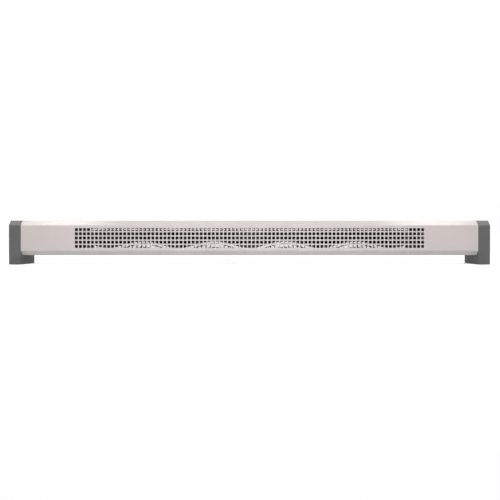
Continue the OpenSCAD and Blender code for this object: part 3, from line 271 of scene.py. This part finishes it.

# Heating element
# A steel hairpin tube with pressed-on steel fins, dark from heat and made
# near-black with painted shade, so the middle rows of the grille stay black.
scale_size = 6 * MM
blackened_steel_and_shade, tree, place = start_material("heat_blackened_steel_and_painted_shade")
scale_marks = add(tree, "ShaderNodeTexNoise", {"Vector": place, "Scale": 1 / scale_size, "Detail": 5.0})
tint = add(tree, "ShaderNodeValToRGB", {"Fac": scale_marks.outputs["Fac"]},
           stops=((0.35, "#0D0C0B"), (0.75, "#191715")))
scale_bump = add(tree, "ShaderNodeBump", {
    "Height": scale_marks.outputs["Fac"], "Strength": 0.2, "Distance": 0.05 * MM})
crust = add(tree, "ShaderNodeBsdfPrincipled", {
    "Base Color": tint.outputs["Color"], "Roughness": 0.75,
    "Normal": scale_bump.outputs["Normal"], "IOR": 1.5})
add(tree, "ShaderNodeOutputMaterial", {"Surface": crust.outputs["BSDF"]})
dress(blackened_steel_and_shade, "element_tube", "element_fins")

# Brass and copper fittings
# Turned brass stud, nuts, tabs and inserts, a little dull from handling, the
# bushes and nuts of the element, darkened with painted shade, and the drawn copper
# sensor tube of the limiter.
tarnish_size = 5 * MM
for name, dark, light, names in (
        ("turned_brass", "#A8894A", "#C6A660", (
            "terminal_inserts", "limiter_tabs", "earth_stud", "earth_nuts")),
        # The element's bushes and nuts are near-black brass: painted shade for the dark ends of the body.
        ("shade_darkened_brass", "#2E2416", "#3C301D", ("element_bushes", "element_nuts")),
        ("drawn_copper", "#A8694A", "#C98A66", ("capillary_tube",))):
    fitting, tree, place = start_material(name)
    tarnish = add(tree, "ShaderNodeTexNoise", {"Vector": place, "Scale": 1 / tarnish_size, "Detail": 4.0})
    tint = add(tree, "ShaderNodeValToRGB", {"Fac": tarnish.outputs["Fac"]},
               stops=((0.35, dark), (0.65, light)))
    sheen = add(tree, "ShaderNodeMapRange", {
        "Value": tarnish.outputs["Fac"], "To Min": 0.25, "To Max": 0.42})
    metal = add(tree, "ShaderNodeBsdfPrincipled", {
        "Base Color": tint.outputs["Color"], "Metallic": 1.0, "Roughness": sheen.outputs["Result"]})
    add(tree, "ShaderNodeOutputMaterial", {"Surface": metal.outputs["BSDF"]})
    dress(fitting, *names)

# Ceramic insulators
# Pressed and fired steatite: seals and guide of the element and the terminal
# block. Off-white, dry to the touch, with faint darker specks.
speck_size = 1.5 * MM
steatite, tree, place = start_material("fired_steatite")
specks = add(tree, "ShaderNodeTexNoise", {"Vector": place, "Scale": 1 / speck_size, "Detail": 5.0})
tint = add(tree, "ShaderNodeValToRGB", {"Fac": specks.outputs["Fac"]},
           stops=((0.3, "#D6CFBF"), (0.5, "#E8E3D7")))
dry_bump = add(tree, "ShaderNodeBump", {
    "Height": specks.outputs["Fac"], "Strength": 0.15, "Distance": 0.04 * MM})
ceramic = add(tree, "ShaderNodeBsdfPrincipled", {
    "Base Color": tint.outputs["Color"], "Roughness": 0.62,
    "Normal": dry_bump.outputs["Normal"], "IOR": 1.55})
add(tree, "ShaderNodeOutputMaterial", {"Surface": ceramic.outputs["BSDF"]})
dress(steatite, "element_seals", "element_guide", "terminal_block")

# Moulded small parts and wire insulation
# Satin black thermoset in the limiter's case and the cord clamp, a glossy red
# nylon reset button, and the extruded silicone skins of the wires.
streak_size = 8 * MM
for name, dark, light, roughness, names in (
        ("black_thermoset", "#1B1B1B", "#282828", 0.5, ("limiter_body", "cord_clamp")),
        ("red_nylon", "#9E1C16", "#B3241C", 0.28, ("reset_button",)),
        ("brown_silicone", "#5A3520", "#6E432A", 0.45, ("wire_live_in", "wire_live_out")),
        ("blue_silicone", "#25447A", "#2F5492", 0.45, ("wire_neutral",)),
        ("green_silicone", "#3F7A30", "#54933F", 0.45, ("wire_earth",))):
    moulding, tree, place = start_material(name)
    streaks = add(tree, "ShaderNodeTexNoise", {"Vector": place, "Scale": 1 / streak_size, "Detail": 3.0})
    tint = add(tree, "ShaderNodeValToRGB", {"Fac": streaks.outputs["Fac"]},
               stops=((0.35, dark), (0.65, light)))
    plastic = add(tree, "ShaderNodeBsdfPrincipled", {
        "Base Color": tint.outputs["Color"], "Roughness": roughness, "IOR": 1.5})
    add(tree, "ShaderNodeOutputMaterial", {"Surface": plastic.outputs["BSDF"]})
    dress(moulding, *names)

# Floor
# A plain white floor that keeps the heater's shadow. It is lifted for the camera
# and for reflections, more so far away, and runs into the white background.
floor_size = 60
near_floor = 1.2
far_floor = 2.8
camera_lift = (0.65, 0.87)
mirror_lift = (0.0, 0.87)


def camera_and_mirror_rays(tree):
    """Is Camera Ray, and one output for glossy and transmission rays."""
    ray = add(tree, "ShaderNodeLightPath").outputs
    mirrored = add(tree, "ShaderNodeMath", {
        0: ray["Is Glossy Ray"], 1: ray["Is Transmission Ray"]}, operation="MAXIMUM")
    return ray["Is Camera Ray"], mirrored.outputs[0]


floor_white, tree, place = start_material("white_floor")
white = add(tree, "ShaderNodeBsdfDiffuse", {"Color": linear("#FAFAFA")})
by_camera, by_mirror = camera_and_mirror_rays(tree)
away = add(tree, "ShaderNodeVectorMath", {0: place}, operation="LENGTH")
lift = 0.0
for ray, (near, far) in ((by_camera, camera_lift), (by_mirror, mirror_lift)):
    level = add(tree, "ShaderNodeMapRange", {
        "Value": away.outputs["Value"], "From Min": near_floor, "From Max": far_floor,
        "To Min": near, "To Max": far})
    lifted = add(tree, "ShaderNodeMath", {
        0: ray, 1: level.outputs["Result"], 2: lift}, operation="MULTIPLY_ADD")
    lift = lifted.outputs[0]
glow = add(tree, "ShaderNodeEmission", {"Strength": lift})
both = add(tree, "ShaderNodeAddShader", {0: white.outputs["BSDF"], 1: glow.outputs["Emission"]})
add(tree, "ShaderNodeOutputMaterial", {"Surface": both.outputs["Shader"]})
floor_mesh = bmesh.new()
bmesh.ops.create_grid(floor_mesh, x_segments=1, y_segments=1, size=floor_size / 2)
floor_data = bpy.data.meshes.new("floor")
floor_mesh.to_mesh(floor_data)
floor_mesh.free()
floor_data.materials.append(floor_white)
floor = bpy.data.objects.new("floor", floor_data)
bpy.context.collection.objects.link(floor)

# Studio light
# Two long soft boxes hang over the ends and brighten the ends of the top slope.
# One in front lights the face and is kept out of the gloss, where it would burn
# out the top as seen from behind. The white room fills in.
for name, lamp_place, turned, size, power, colour, in_gloss in (
        ("left_overhead", (-0.765, 0.1, 1.2), (0, 0, 0), (0.29, 1.1), 7.3, "#FFFFFF", True),
        ("right_overhead", (0.75, 0.1, 1.2), (0, 0, 0), (0.3, 1.1), 7.6, "#FFFFFF", True),
        ("front", (0, -0.88, 0.47), (54, 0, 0), (0.8, 0.4), 6.25, "#FFFAFD", False)):
    lamp_data = bpy.data.lights.new(name, "AREA")
    lamp_data.shape = "RECTANGLE"
    lamp_data.size, lamp_data.size_y = size
    lamp_data.energy = power
    lamp_data.color = linear(colour)[:3]
    lamp = bpy.data.objects.new(name, lamp_data)
    lamp.location = lamp_place
    lamp.rotation_euler = [math.radians(angle) for angle in turned]
    lamp.visible_glossy = in_gloss
    bpy.context.collection.objects.link(lamp)

room_level = 0.19
room = bpy.data.worlds.new("white_room")
room.use_nodes = True
tree = room.node_tree
tree.nodes.clear()
by_camera, by_mirror = camera_and_mirror_rays(tree)
seen = add(tree, "ShaderNodeMath", {0: by_camera, 1: by_mirror}, operation="MAXIMUM")
level = add(tree, "ShaderNodeMapRange", {"Value": seen.outputs[0], "To Min": room_level, "To Max": 1.0})
walls = add(tree, "ShaderNodeBackground", {"Color": linear("#FFFFFF"), "Strength": level.outputs["Result"]})
add(tree, "ShaderNodeOutputWorld", {"Surface": walls.outputs["Background"]})
bpy.context.scene.world = room
bpy.context.scene.view_settings.view_transform = "Standard"
